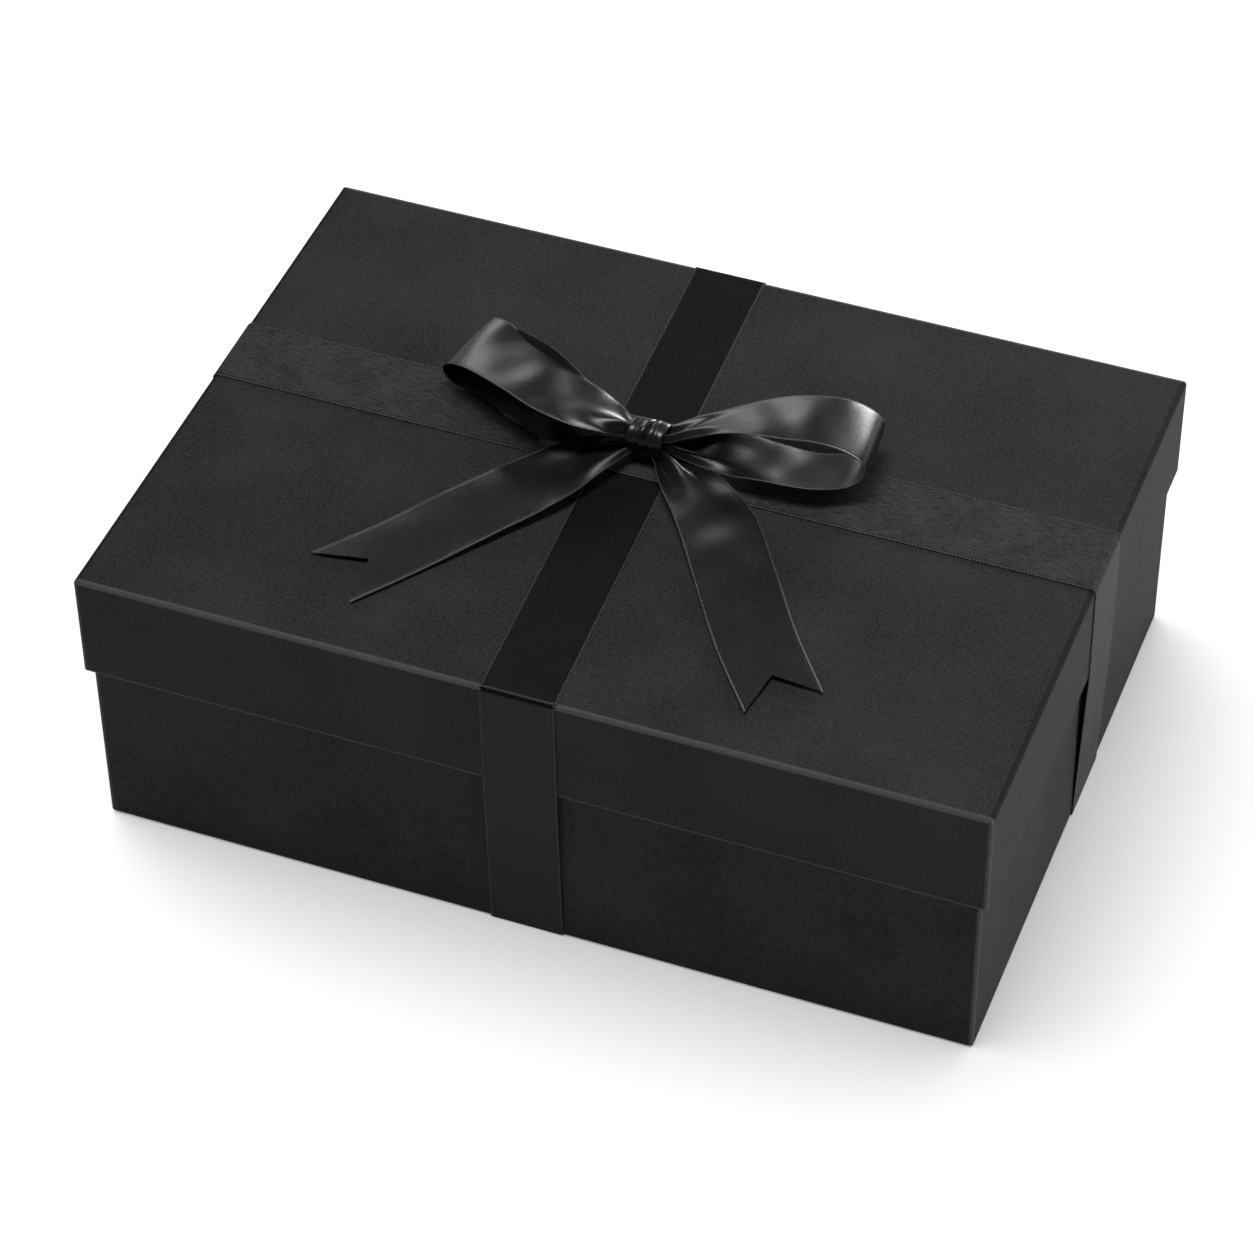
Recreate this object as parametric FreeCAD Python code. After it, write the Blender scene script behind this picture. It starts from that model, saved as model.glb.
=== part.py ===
import FreeCAD, Part

# Rigid lift-off-lid gift box, tied both ways with satin ribbon that ends in a shoelace bow.
# Millimetres. +Z is up, +X runs along the box's long side and the front faces -Y.
# The origin is the centre of the footprint, on the surface that the box stands on.

import math
import os

from FreeCAD import Placement, Rotation, Vector

# ---- driving dimensions: board, paper and the two halves of the box ----
lid_length = 310.0           # over the covered lid, along X
lid_depth = 220.0            # over the covered lid, along Y
box_height = 107.4           # closed box, underside of the base to the top of the lid
skirt_height = 40.0          # how far the lid's sides come down
board = 1.5                  # greyboard
paper = 0.2                  # covering paper with its glue
lid_play = 0.4               # gap between lid and base on each side
corner_radius = 1.2          # upright edges of the covered box
top_edge_radius = 2.0        # top edges of the covered lid
stay_leg = 14.0              # corner stay tape, from the corner along each side
stay_tape = 0.1              # its thickness, pressed flush into the board
liner_gap = 0.5              # around each loose-cut lining sheet

# ---- driving dimensions: ribbons ----
ribbon = 0.3                 # thickness of a ribbon
ribbon_ease = 0.15           # air between a ribbon and the box that it goes round
joint_slit = 0.1             # air between the ends of two ribbon stretches
short_width = 25.5           # ribbon that goes round the short way, front to back
long_width = 29.0            # ribbon that goes round the long way, left to right
short_front_x = -0.9         # where the middle of the short way ribbon crosses the front edge
short_back_x = -8.6          # and the back edge: it was tied a little askew
long_y = 13.6                # middle of the long way ribbon at the lid's side edges
right_foot_y = 17.6          # and where its right drop goes under the base
ramp = 5.0                   # length over which the upper ribbon climbs onto the lower one

# ---- driving dimensions: bow ----
knot_x, knot_y = -2.4, 11.5  # middle of the knot
knot_length = 13.0           # along the bow
knot_depth = 13.0            # front to back
knot_height = 12.4
knot_rounding = 4.6
knot_wall = 0.8              # folded ribbon that goes round the gather
gather_proud = 1.0           # gathered ribbon standing out of each end of the knot
pad_length, pad_depth, pad_thickness = 11.0, 9.0, 0.4
bow_width = 27.0             # flat width of the bow's ribbon
root_width = 8.6             # its width where it is pulled together at the knot
loop_film = 0.6              # plain stand-in thickness of a loop
tail_film = 0.4              # plain stand-in thickness of a tail
loop_end_radius = 9.6
loop_root_radius = 1.7
loop_root_height = 8.0       # above the crossing of the ribbons
loop_end_height = 11.2
loops = {"left": (77.0, 163.7), "right": (75.0, 11.9)}      # reach, heading in degrees
tails = {"left": (118.6, 230.9, 14.8, 2.8),                 # reach, heading, depth of the notch,
         "right": (125.3, 310.2, 12.1, 2.0)}                # height at the knot
fan_start, fan_end = 8.0, 30.0   # stretch over which a bow ribbon opens from root to full width
tail_rest_at = 38.0          # from the knot's middle to where a tail touches down
tail_lift = 0.25             # air under a tail where it lies over the crossing's height

# ---- values that follow ----
turn_in = paper + board + paper
step = turn_in + lid_play
base_length = lid_length - 2 * step
base_depth = lid_depth - 2 * step
base_z = 2 * ribbon
lid_top = base_z + box_height
skirt_z = lid_top - skirt_height
rim_z = lid_top - turn_in
bend_z = lid_top - top_edge_radius
crossing_z = lid_top + ribbon_ease + 2 * ribbon
knot_z = crossing_z + pad_thickness


def block(length, depth, z0, z1, upright=0.0, top=0.0):
    """Upright box on the origin's axis, with rounded upright and top edges."""
    shape = Part.makeBox(length, depth, z1 - z0, Vector(-length / 2, -depth / 2, z0))
    uprights, tops = [], []
    for edge in shape.Edges:
        low, high = edge.BoundBox.ZMin, edge.BoundBox.ZMax
        if high - low > 1e-6:
            uprights.append(edge)
        elif low > (z0 + z1) / 2:
            tops.append(edge)
    if top:
        shape = shape.makeFillet(top, tops)
        uprights = [edge for edge in shape.Edges
                    if abs(edge.BoundBox.ZMin - z0) < 1e-6 and edge.BoundBox.ZMax - z0 > 1.0]
    if upright:
        shape = shape.makeFillet(upright, uprights)
    return shape


def solid_of(outline, along):
    """Closed outline of points, extruded along a vector."""
    wire = Part.makePolygon(outline + [outline[0]])
    return Part.Face(wire).extrude(along)


def stays(length, depth, z0, z1, rounding):
    """Four L-shaped strips of tape that hold the board's corners, flush with its outside."""
    film = block(length, depth, z0, z1, rounding).cut(
        block(length - 2 * stay_tape, depth - 2 * stay_tape, z0 - 1, z1 + 1, rounding - stay_tape))
    found = {}
    for across, x_side in (("left", -1), ("right", 1)):
        for away, y_side in (("front", -1), ("back", 1)):
            corner = Vector(x_side * length / 2, y_side * depth / 2, z0)
            square = Part.makeBox(2 * stay_leg, 2 * stay_leg, z1 - z0,
                                  corner - Vector(stay_leg, stay_leg, 0))
            found[f"{away}_{across}"] = film.common(square)
    return found


def half_box(name, length, depth, z0, z1, opens_up, top_radius):
    """Board shell, covering paper, lining sheet and corner stays of one half of the box."""
    board_z0, board_z1 = z0 + paper, z1 - paper
    floor_low, floor_high = (board_z0, board_z0 + board) if opens_up else (board_z1 - board, board_z1)
    hollow_z0, hollow_z1 = (floor_high, z1 + 1) if opens_up else (z0 - 1, floor_low)
    inner_length, inner_depth = length - 2 * turn_in, depth - 2 * turn_in
    stay_z0, stay_z1 = (floor_high, board_z1) if opens_up else (board_z0, floor_low - top_radius)

    board_radius = max(corner_radius - paper, 0)
    shell = block(length - 2 * paper, depth - 2 * paper, board_z0, board_z1, board_radius,
                  max(top_radius - paper, 0))
    hollow = block(inner_length + 2 * paper, inner_depth + 2 * paper, hollow_z0, hollow_z1)
    tape = stays(length - 2 * paper, depth - 2 * paper, stay_z0, stay_z1, board_radius)
    solid_board = shell.cut(hollow)
    outside = block(length, depth, z0, z1, corner_radius, top_radius)
    cover = outside.cut(solid_board).cut(block(inner_length, inner_depth, hollow_z0, hollow_z1))
    lining_z = floor_high if opens_up else floor_low - paper
    lining = block(inner_length - 2 * liner_gap, inner_depth - 2 * liner_gap,
                   lining_z, lining_z + paper)
    for strip in tape.values():
        solid_board = solid_board.cut(strip)

    made = {f"{name}_board": solid_board, f"{name}_cover": cover, f"{name}_lining": lining}
    for corner, strip in tape.items():
        made[f"{name}_stay_{corner}"] = strip
    return made


def edge_bend(middle, width, heading, half):
    """Quarter turn of ribbon over one top edge of the lid, as if that edge were along +Y's front.

    The lid's middle is `half` behind the edge; heading turns the bend about Z to its own edge.
    """
    radius = top_edge_radius + ribbon_ease
    hub = Vector(0, -(half - top_edge_radius), bend_z)
    rim = []
    for reach in (radius, radius + ribbon):
        tip = hub + Vector(0, -reach, 0)
        top = hub + Vector(0, 0, reach)
        mid = hub + Vector(0, -reach * math.sqrt(0.5), reach * math.sqrt(0.5))
        rim.append((tip, mid, top))
    (tip_in, mid_in, top_in), (tip_out, mid_out, top_out) = rim
    wire = Part.Wire([Part.Arc(tip_in, mid_in, top_in).toShape(),
                      Part.makeLine(top_in, top_out),
                      Part.Arc(top_out, mid_out, tip_out).toShape(),
                      Part.makeLine(tip_out, tip_in)])
    bend = Part.Face(wire).extrude(Vector(width, 0, 0))
    bend.translate(Vector(middle - width / 2, 0, 0))
    bend.rotate(Vector(0, 0, 0), Vector(0, 0, 1), heading)
    return bend


def short_band_top():
    """Lower ribbon on the lid, front edge to back edge, a little askew."""
    z = lid_top + ribbon_ease
    y = lid_depth / 2 - top_edge_radius
    half = short_width / 2
    flat = solid_of([Vector(short_front_x - half, -y, z), Vector(short_front_x + half, -y, z),
                     Vector(short_back_x + half, y, z), Vector(short_back_x - half, y, z)],
                    Vector(0, 0, ribbon))
    front = edge_bend(short_front_x, short_width, 0, lid_depth / 2)
    back = edge_bend(-short_back_x, short_width, 180, lid_depth / 2)
    return flat.fuse([front, back]).removeSplitter()


def long_band_top():
    """Upper ribbon on the lid, left edge to right edge, with a hump over the lower one."""
    z = lid_top + ribbon_ease
    x = lid_length / 2 - top_edge_radius
    share = (long_y + lid_depth / 2) / lid_depth
    crossing_x = short_front_x + (short_back_x - short_front_x) * share
    slant = abs(short_back_x - short_front_x) * long_width / lid_depth / 2
    hump = short_width / 2 + slant + ribbon
    line = [(-x, 0), (crossing_x - hump - ramp, 0), (crossing_x - hump, ribbon),
            (crossing_x + hump, ribbon), (crossing_x + hump + ramp, 0), (x, 0)]
    under = [Vector(px, long_y - long_width / 2, z + rise) for px, rise in line]
    over = [point + Vector(0, 0, ribbon) for point in reversed(under)]
    flat = solid_of(under + over, Vector(0, long_width, 0))
    left = edge_bend(-long_y, long_width, 270, lid_length / 2)
    right = edge_bend(long_y, long_width, 90, lid_length / 2)
    return flat.fuse([left, right]).removeSplitter()


def drop(lid_half, base_half, top_middle, foot_middle, width, foot_z, heading):
    """Ribbon hanging from a lid edge: straight past the skirt, then in to the base's foot."""
    skirt_out = -(lid_half + ribbon_ease)
    foot_out = -(base_half + ribbon_ease)
    top_z = bend_z - joint_slit
    levels = [(skirt_out, top_z), (skirt_out, skirt_z), (foot_out, foot_z)]
    sections = []
    for inner_y, z in levels:
        middle = top_middle + (foot_middle - top_middle) * (top_z - z) / (top_z - foot_z)
        x0, x1 = middle - width / 2, middle + width / 2
        outer_y = inner_y - ribbon
        corners = [Vector(x0, inner_y, z), Vector(x1, inner_y, z),
                   Vector(x1, outer_y, z), Vector(x0, outer_y, z)]
        sections.append(Part.makePolygon(corners + [corners[0]]))
    strap = Part.makeLoft(sections, True, True)
    strap.rotate(Vector(0, 0, 0), Vector(0, 0, 1), heading)
    return strap


def under_band(start, end, width, z):
    """Flat ribbon under the base from one foot to the opposite one."""
    along = end - start
    side = Vector(0, width / 2, 0) if abs(along.x) > abs(along.y) else Vector(width / 2, 0, 0)
    lift = Vector(0, 0, z)
    return solid_of([start - side + lift, end - side + lift, end + side + lift, start + side + lift],
                    Vector(0, 0, ribbon))


def rounded_bar(length, depth, z0, height, rounding):
    """Bar along X with rounded long edges, on the knot's place."""
    bar = Part.makeBox(length, depth, height, Vector(knot_x - length / 2, knot_y - depth / 2, z0))
    long_edges = [edge for edge in bar.Edges if edge.BoundBox.XMax - edge.BoundBox.XMin > length / 2]
    return bar.makeFillet(rounding, long_edges)


def knot_parts():
    """Pad, gathered middle of the bow and the turn of ribbon that binds it."""
    pad = Part.makeBox(pad_length, pad_depth, pad_thickness,
                       Vector(knot_x - pad_length / 2, knot_y - pad_depth / 2, crossing_z))
    outer = rounded_bar(knot_length, knot_depth, knot_z, knot_height, knot_rounding)
    gather = rounded_bar(knot_length + 2 * gather_proud, knot_depth - 2 * knot_wall,
                         knot_z + knot_wall, knot_height - 2 * knot_wall, knot_rounding - knot_wall)
    return pad, outer.cut(gather), gather, outer.fuse(gather)


def belt(near, near_radius, far, far_radius, width):
    """Solid hull of two cylinders that lie across the ribbon, seen as a teardrop from the side."""
    gap = far - near
    distance = gap.Length
    tilt = math.atan2(gap.z, gap.x)
    spread = math.asin((far_radius - near_radius) / distance)

    def on_rim(centre, radius, angle):
        return centre + Vector(radius * math.cos(angle), 0, radius * math.sin(angle))

    up, down = tilt + math.pi / 2 + spread, tilt - math.pi / 2 - spread
    wire = Part.Wire([
        Part.makeLine(on_rim(near, near_radius, up), on_rim(far, far_radius, up)),
        Part.Arc(on_rim(far, far_radius, up), on_rim(far, far_radius, tilt),
                 on_rim(far, far_radius, down)).toShape(),
        Part.makeLine(on_rim(far, far_radius, down), on_rim(near, near_radius, down)),
        Part.Arc(on_rim(near, near_radius, down), on_rim(near, near_radius, tilt + math.pi),
                 on_rim(near, near_radius, up)).toShape()])
    solid = Part.Face(wire).extrude(Vector(0, width, 0))
    solid.translate(Vector(0, -width / 2, 0))
    return solid


def fan(reach, notch=0.0):
    """Plan of a bow ribbon: narrow at the knot, full width from fan_end, notched if it is a tail."""
    narrow, full = root_width / 2, bow_width / 2
    plan = [Vector(0, -narrow, 0), Vector(fan_start, -narrow, 0), Vector(fan_end, -full, 0),
            Vector(reach, -full, 0)]
    if notch:
        plan.append(Vector(reach - notch, 0, 0))
    plan += [Vector(reach, full, 0), Vector(fan_end, full, 0), Vector(fan_start, narrow, 0),
             Vector(0, narrow, 0)]
    return solid_of(plan, Vector(0, 0, 3 * loop_end_radius))


def at_knot(shape, heading):
    """Put a bow piece that was made along +X on the crossing, pointing its own way."""
    shape.Placement = Placement(Vector(knot_x, knot_y, crossing_z), Rotation(Vector(0, 0, 1), heading))
    return shape


def bow_loop(reach, heading, core):
    near = Vector(loop_root_radius, 0, loop_root_height)
    far = Vector(reach - loop_end_radius, 0, loop_end_height)
    outside = belt(near, loop_root_radius, far, loop_end_radius, bow_width)
    inside = belt(near, loop_root_radius - loop_film, far, loop_end_radius - loop_film, bow_width + 2)
    film = outside.cut(inside).common(fan(reach + 1))
    return at_knot(film, heading).cut(core)


def bow_tail(reach, heading, notch, root_height, core):
    line = [(0, root_height), (fan_start, root_height), (tail_rest_at, tail_lift),
            (reach, tail_lift)]
    under = [Vector(s, -bow_width, z) for s, z in line]
    over = [point + Vector(0, 0, tail_film) for point in reversed(under)]
    film = solid_of(under + over, Vector(0, 2 * bow_width, 0)).common(fan(reach, notch))
    return at_knot(film, heading).cut(core)


def build():
    nodes = {}
    nodes.update(half_box("base", base_length, base_depth, base_z, rim_z, True, 0.0))
    nodes.update(half_box("lid", lid_length, lid_depth, skirt_z, lid_top, False, top_edge_radius))

    long_foot = base_length / 2 + ribbon_ease + ribbon
    short_foot = base_depth / 2 + ribbon_ease + ribbon
    nodes["ribbon_under_short"] = under_band(Vector(short_front_x, -short_foot, 0),
                                             Vector(short_back_x, short_foot, 0), short_width, ribbon)
    nodes["ribbon_under_long"] = under_band(Vector(-long_foot, long_y, 0),
                                            Vector(long_foot, right_foot_y, 0), long_width, 0)
    nodes["ribbon_top_short"] = short_band_top()
    nodes["ribbon_top_long"] = long_band_top()

    short_foot_z = 2 * ribbon + joint_slit
    long_foot_z = ribbon + joint_slit
    short_way = (lid_depth / 2, base_depth / 2)
    long_way = (lid_length / 2, base_length / 2)
    nodes["ribbon_drop_front"] = drop(*short_way, short_front_x, short_front_x, short_width,
                                      short_foot_z, 0)
    nodes["ribbon_drop_back"] = drop(*short_way, -short_back_x, -short_back_x, short_width,
                                     short_foot_z, 180)
    nodes["ribbon_drop_right"] = drop(*long_way, long_y, right_foot_y, long_width, long_foot_z, 90)
    nodes["ribbon_drop_left"] = drop(*long_way, -long_y, -long_y, long_width, long_foot_z, 270)

    nodes["bow_pad"], nodes["bow_knot"], nodes["bow_gather"], core = knot_parts()
    for side, (reach, heading) in loops.items():
        nodes[f"bow_loop_{side}"] = bow_loop(reach, heading, core)
    for side, (reach, heading, notch, root_height) in tails.items():
        nodes[f"bow_tail_{side}"] = bow_tail(reach, heading, notch, root_height, core)
    return nodes


os.makedirs("parts", exist_ok=True)
for node, shape in build().items():
    if not shape.isValid() or len(shape.Solids) != 1:
        raise ValueError(f"{node}: {len(shape.Solids)} solids, valid {shape.isValid()}")
    shape.Solids[0].exportStep(f"parts/{node}.step")
    print(f"{node:24s} {shape.Volume:10.1f} mm3")
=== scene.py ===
"""Gift box with a lift-off lid, ribbons round it both ways and a shoelace bow, dressed on its frame."""

import math

import bmesh
import bpy
import numpy as np
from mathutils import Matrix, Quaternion, Vector


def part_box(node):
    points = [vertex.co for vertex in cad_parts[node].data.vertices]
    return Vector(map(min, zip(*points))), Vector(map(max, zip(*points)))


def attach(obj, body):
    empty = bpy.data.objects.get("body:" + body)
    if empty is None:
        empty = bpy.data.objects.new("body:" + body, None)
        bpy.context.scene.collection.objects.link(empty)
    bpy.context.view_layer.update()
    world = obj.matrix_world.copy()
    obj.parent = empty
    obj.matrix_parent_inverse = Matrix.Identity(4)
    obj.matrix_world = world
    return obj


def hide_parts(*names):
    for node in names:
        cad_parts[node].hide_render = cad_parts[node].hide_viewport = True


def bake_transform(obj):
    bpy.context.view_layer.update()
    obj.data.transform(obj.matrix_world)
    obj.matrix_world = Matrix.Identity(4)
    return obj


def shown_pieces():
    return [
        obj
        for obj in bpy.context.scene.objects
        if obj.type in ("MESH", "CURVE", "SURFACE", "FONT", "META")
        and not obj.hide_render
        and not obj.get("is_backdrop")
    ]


bl_info = {
    "name": "Ribboned Gift Box",
    "version": (1, 0, 0),
    "blender": (4, 5, 0),
    "location": "3D View > Sidebar > Gift Box",
    "description": "Dresses a lift-off lid box with paper, satin ribbons and a bow",
    "category": "Add Mesh",
}

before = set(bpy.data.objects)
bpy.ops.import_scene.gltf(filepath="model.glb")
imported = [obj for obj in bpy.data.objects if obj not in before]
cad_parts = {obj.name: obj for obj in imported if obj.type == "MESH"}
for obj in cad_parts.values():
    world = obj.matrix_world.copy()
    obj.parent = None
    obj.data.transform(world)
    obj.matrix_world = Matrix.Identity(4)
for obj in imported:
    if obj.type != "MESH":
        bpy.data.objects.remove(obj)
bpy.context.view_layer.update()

MM = 0.001
UP = np.array((0.0, 0.0, 1.0))
lid_low, lid_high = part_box("lid_cover")
base_low, base_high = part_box("base_cover")
knot_low, knot_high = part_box("bow_knot")
pad_low, pad_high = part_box("bow_pad")


# ---- sizes and colours that a maker would change ----

def length(name, description, default, low=0.0):
    return bpy.props.FloatProperty(name=name, description=description, default=default, min=low,
                                   unit="LENGTH", precision=5)


def share(name, description, default):
    return bpy.props.FloatProperty(name=name, description=description, default=default, min=0.0,
                                   max=1.0, subtype="FACTOR")


def light(name, description, default, unit="NONE"):
    return bpy.props.FloatProperty(name=name, description=description, default=default, min=0.0,
                                   unit=unit)


def colour(name, description, default):
    return bpy.props.FloatVectorProperty(name=name, description=description, default=default, size=3,
                                         min=0.0, max=1.0, subtype="COLOR")


class GiftBoxPaper(bpy.types.PropertyGroup):
    """Board, covering paper and lining."""
    thickness: length("Covering paper", "Thickness of the covering paper with its glue", 0.2 * MM)
    board: length("Board", "Thickness of the greyboard", 1.5 * MM)
    top_edge: length("Top edge", "Rounding of the lid's top edges", 1.5 * MM)
    foot_edge: length("Foot edge", "Rounding of the base's lower edges", 0.5 * MM)
    upright: length("Upright edge", "Rounding of the upright corners", 1.2 * MM)
    rim: length("Rim", "Rounding where the paper turns over a rim", 0.4 * MM)
    roughness: share("Roughness", "How matte the covering paper is", 0.66)
    cover: colour("Covering paper", "Matte black paper outside", (0.0190, 0.0191, 0.0193))
    lining: colour("Lining paper", "Smooth charcoal paper inside", (0.040, 0.040, 0.042))
    greyboard: colour("Greyboard", "Raw board under the paper", (0.235, 0.215, 0.185))
    tape: colour("Stay tape", "Gummed tape on the board's corners", (0.33, 0.22, 0.12))


class GiftBoxRibbon(bpy.types.PropertyGroup):
    """Woven ribbon, cut for the bands and the bow."""
    thickness: length("Thickness", "Thickness of the ribbon", 0.3 * MM)
    short_width: length("Short way width", "Width of the ribbon that goes round the short way",
                        25.5 * MM, 10 * MM)
    long_width: length("Long way width", "Width of the ribbon that goes round the long way",
                       29.0 * MM, 10 * MM)
    selvedge: length("Selvedge", "Width of the woven edge", 0.70 * MM)
    stitch: length("Stitch", "Spacing of the stitches in the woven edge", 1.15 * MM, 0.1 * MM)
    # Both bands are one satin: the long way band's lighter tone is painted sheen and the short way
    # band's near-black tone is painted shade, for how the satin reflects along and across its threads.
    short_band: colour("Short way band", "Colour of the lower ribbon", (0.0028, 0.0028, 0.0029))
    long_band: colour("Long way band", "Colour of the upper ribbon", (0.0225, 0.0225, 0.0229))
    bow: colour("Bow", "Colour of the bow's satin", (0.0055, 0.0055, 0.0057))
    stitching: colour("Stitching", "Thread of the woven edge", (0.080, 0.080, 0.081))
    short_roughness: share("Short way roughness", "How dull the lower ribbon is", 0.3596)
    long_roughness: share("Long way roughness", "How dull the upper ribbon is", 0.58)
    bow_roughness: share("Bow roughness", "How dull the bow's satin is", 0.29)
    short_sheen: share("Short way sheen", "How strongly the lower ribbon mirrors", 0.10)
    long_sheen: share("Long way sheen", "How strongly the upper ribbon mirrors", 0.05)
    bow_sheen: share("Bow sheen", "How strongly the bow's satin mirrors", 0.58)


class GiftBoxBow(bpy.types.PropertyGroup):
    """How the bow's ribbon is folded."""
    width: length("Ribbon width", "Flat width of the bow's ribbon", 27.0 * MM, 10 * MM)
    pleats: bpy.props.FloatProperty(name="Pleats", default=1.35, min=0.5, max=6.0,
                                    description="Folds across the ribbon where the knot gathers it")
    deepest: length("Deepest pleat", "Most that a pleat stands up or down", 1.75 * MM)
    crown: length("Crown", "Rise of the ribbon's middle over its edges", 0.5 * MM)
    ripple: length("Ripple", "Soft waves along the ribbon", 0.56 * MM)
    gather_runs: bpy.props.IntProperty(name="Gather layers", default=6, min=2, max=12,
                                       description="Layers of ribbon inside the knot")


class GiftBoxStage(bpy.types.PropertyGroup):
    """Floor and lights. Each lamp shines on the floor, on the box or on all but the bow."""
    floor: colour("Floor", "Colour of the floor", (0.92, 0.92, 0.92))
    surroundings: light("Surroundings", "Light that comes from all round", 0.09)
    floor_wash: light("Floor wash", "Broad light overhead, on the floor", 3.1)
    floor_side: light("Floor side", "Light from the left and behind, on the floor", 1.5)
    overhead: light("Overhead light", "Broad light from the left and above, on box and bands", 1.5)
    softbox: light("Softbox", "Power of the softbox behind and above, on the box", 12.0, "POWER")
    side_box: light("Side softbox", "Power of the softbox on the right, on box and bands", 22.0, "POWER")
    left_box: light("Left softbox", "Power of the softbox behind on the left, on the box", 2.6, "POWER")
    backdrop: light("Backdrop", "Power of the bright sweep behind, on the box", 22.0, "POWER")


# ---- shader nodes ----

class Strand:
    """Value that runs from one shader node to the next; sums on it add Math nodes."""

    def __init__(self, finish, socket):
        self.finish, self.socket = finish, socket

    def worked(self, operation, *values):
        return self.finish.node("ShaderNodeMath", {"operation": operation}, dict(enumerate(values)))

    def __add__(self, other):
        return self.worked("ADD", self, other)

    def __sub__(self, other):
        return self.worked("SUBTRACT", self, other)

    def __rsub__(self, other):
        return self.worked("SUBTRACT", other, self)

    def __mul__(self, other):
        return self.worked("MULTIPLY", self, other)

    def __abs__(self):
        return self.worked("ABSOLUTE", self)

    def sine(self):
        return self.worked("SINE", self)

    def eased(self, start, end):
        """0 up to start, 1 from end on, and a smooth step between them."""
        return self.finish.node("ShaderNodeMapRange", {"interpolation_type": "SMOOTHSTEP"},
                                {"Value": self, "From Min": start, "From Max": end})

    __radd__ = __add__
    __rmul__ = __mul__


class Finish:
    """Material made of shader nodes, with one call for each node."""

    def __init__(self, name):
        self.material = bpy.data.materials.new(name)
        self.material.use_nodes = True
        self.tree = self.material.node_tree
        self.tree.nodes.clear()

    def node(self, kind, settings=None, inputs=None, output=0):
        """New node with its settings, then the values or links of its inputs. Gives one output."""
        made = self.tree.nodes.new(kind)
        for key, value in (settings or {}).items():
            setattr(made, key, value)
        for key, value in (inputs or {}).items():
            if isinstance(value, Strand):
                self.tree.links.new(value.socket, made.inputs[key])
            else:
                made.inputs[key].default_value = value
        return Strand(self, made.outputs[output])

    def place(self):
        """Where a point is on its piece, in metres."""
        return self.node("ShaderNodeTexCoord", output="Object")

    def cloth(self):
        """Across and along values of a ribbon, in metres from its middle line and its start."""
        flat = self.node("ShaderNodeUVMap", {"uv_map": "cloth"})
        split = self.node("ShaderNodeSeparateXYZ", inputs={0: flat}, output="X")
        return split, Strand(self, split.socket.node.outputs["Y"])

    def joined(self, x, y, z=0.0):
        return self.node("ShaderNodeCombineXYZ", inputs={"X": x, "Y": y, "Z": z})

    def stretched(self, vector, factors):
        return self.node("ShaderNodeVectorMath", {"operation": "MULTIPLY"}, {0: vector, 1: factors})

    def noise(self, vector, scale, detail=3.0, roughness=0.55):
        return self.node("ShaderNodeTexNoise", {"noise_dimensions": "3D"},
                         {"Vector": vector, "Scale": scale, "Detail": detail, "Roughness": roughness},
                         output="Fac")

    def mixed(self, factor, first, second):
        """Colour that goes from the first to the second as factor goes from 0 to 1."""
        def rgba(value):
            return value if isinstance(value, Strand) else (*value, 1.0)
        return self.node("ShaderNodeMix", {"data_type": "RGBA"},
                         {0: factor, 6: rgba(first), 7: rgba(second)}, output=2)

    def raised(self, height, depth, under=None):
        """Normal of a relief of that depth, laid over a finer one where it is given."""
        inputs = {"Height": height, "Distance": depth, "Strength": 1.0}
        if under is not None:
            inputs["Normal"] = under
        return self.node("ShaderNodeBump", inputs=inputs, output="Normal")

    def done(self, inputs):
        shader = self.node("ShaderNodeBsdfPrincipled", inputs=inputs, output="BSDF")
        result = self.tree.nodes.new("ShaderNodeOutputMaterial")
        self.tree.links.new(shader.socket, result.inputs["Surface"])
        return self.material


def shaded(tone, factor):
    """Colour made darker or lighter by a factor."""
    return tuple(min(part * factor, 1.0) for part in tone)


def once(name, build):
    """Material of that name, built the first time it is asked for."""
    return bpy.data.materials.get(name) or build()


def covering_paper(paper):
    """Matte black paper: felted fibres and faint clouds, worn edges with a painted highlight, painted
    shade and dark seams.
    """
    def build():
        finish = Finish("matte_black_paper")
        place = finish.place()
        fibres = finish.noise(finish.stretched(place, (0.45, 1.0, 1.0)), 2600, 4.0, 0.65)
        grain = finish.noise(place, 1100, 5.0, 0.6)
        clouds = finish.noise(place, 26, 2.0, 0.5)
        wear = finish.node("ShaderNodeAttribute", {"attribute_name": "wear"}, output="Fac")
        tone = fibres * 0.35 + grain * 0.45 + clouds * 0.2
        body = finish.mixed(tone.eased(0.32, 0.68), shaded(paper.cover, 0.45),
                            shaded(paper.cover, 1.62))
        # Pale edges: wear with a painted highlight on the folds, the rim and the upright corners.
        edge_wear_and_light = finish.mixed(wear * (grain * 0.5 + 0.4), body, shaded(paper.cover, 4.2))
        # Dark edges: painted shade on the short sides' folds, and dark seams beside their corners.
        seams_and_shade = finish.mixed(wear * -0.85, edge_wear_and_light, shaded(paper.cover, 0.2))
        height = fibres * 0.55 + grain * 0.45
        return finish.done({"Base Color": seams_and_shade, "Roughness": clouds * 0.12 + (paper.roughness - 0.06),
                            "Specular IOR Level": 0.04, "Normal": finish.raised(height, 0.17 * MM)})
    return once("matte_black_paper", build)


def plain_paper(name, tone, roughness, coarse, depth):
    """Uncoated paper, tape or board: flecks and fibres in one tone."""
    def build():
        finish = Finish(name)
        place = finish.place()
        fibres = finish.noise(finish.stretched(place, (0.3, 1.0, 1.0)), coarse, 4.0, 0.65)
        flecks = finish.noise(place, coarse * 0.4, 3.0, 0.6)
        body = finish.mixed(fibres.eased(0.3, 0.7), shaded(tone, 0.82), shaded(tone, 1.18))
        flecked = finish.mixed(flecks.eased(0.58, 0.66) * 0.55, body, shaded(tone, 0.55))
        return finish.done({"Base Color": flecked, "Roughness": fibres * 0.15 + (roughness - 0.07),
                            "Specular IOR Level": 0.35, "Normal": finish.raised(fibres, depth)})
    return once(name, build)


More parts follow.
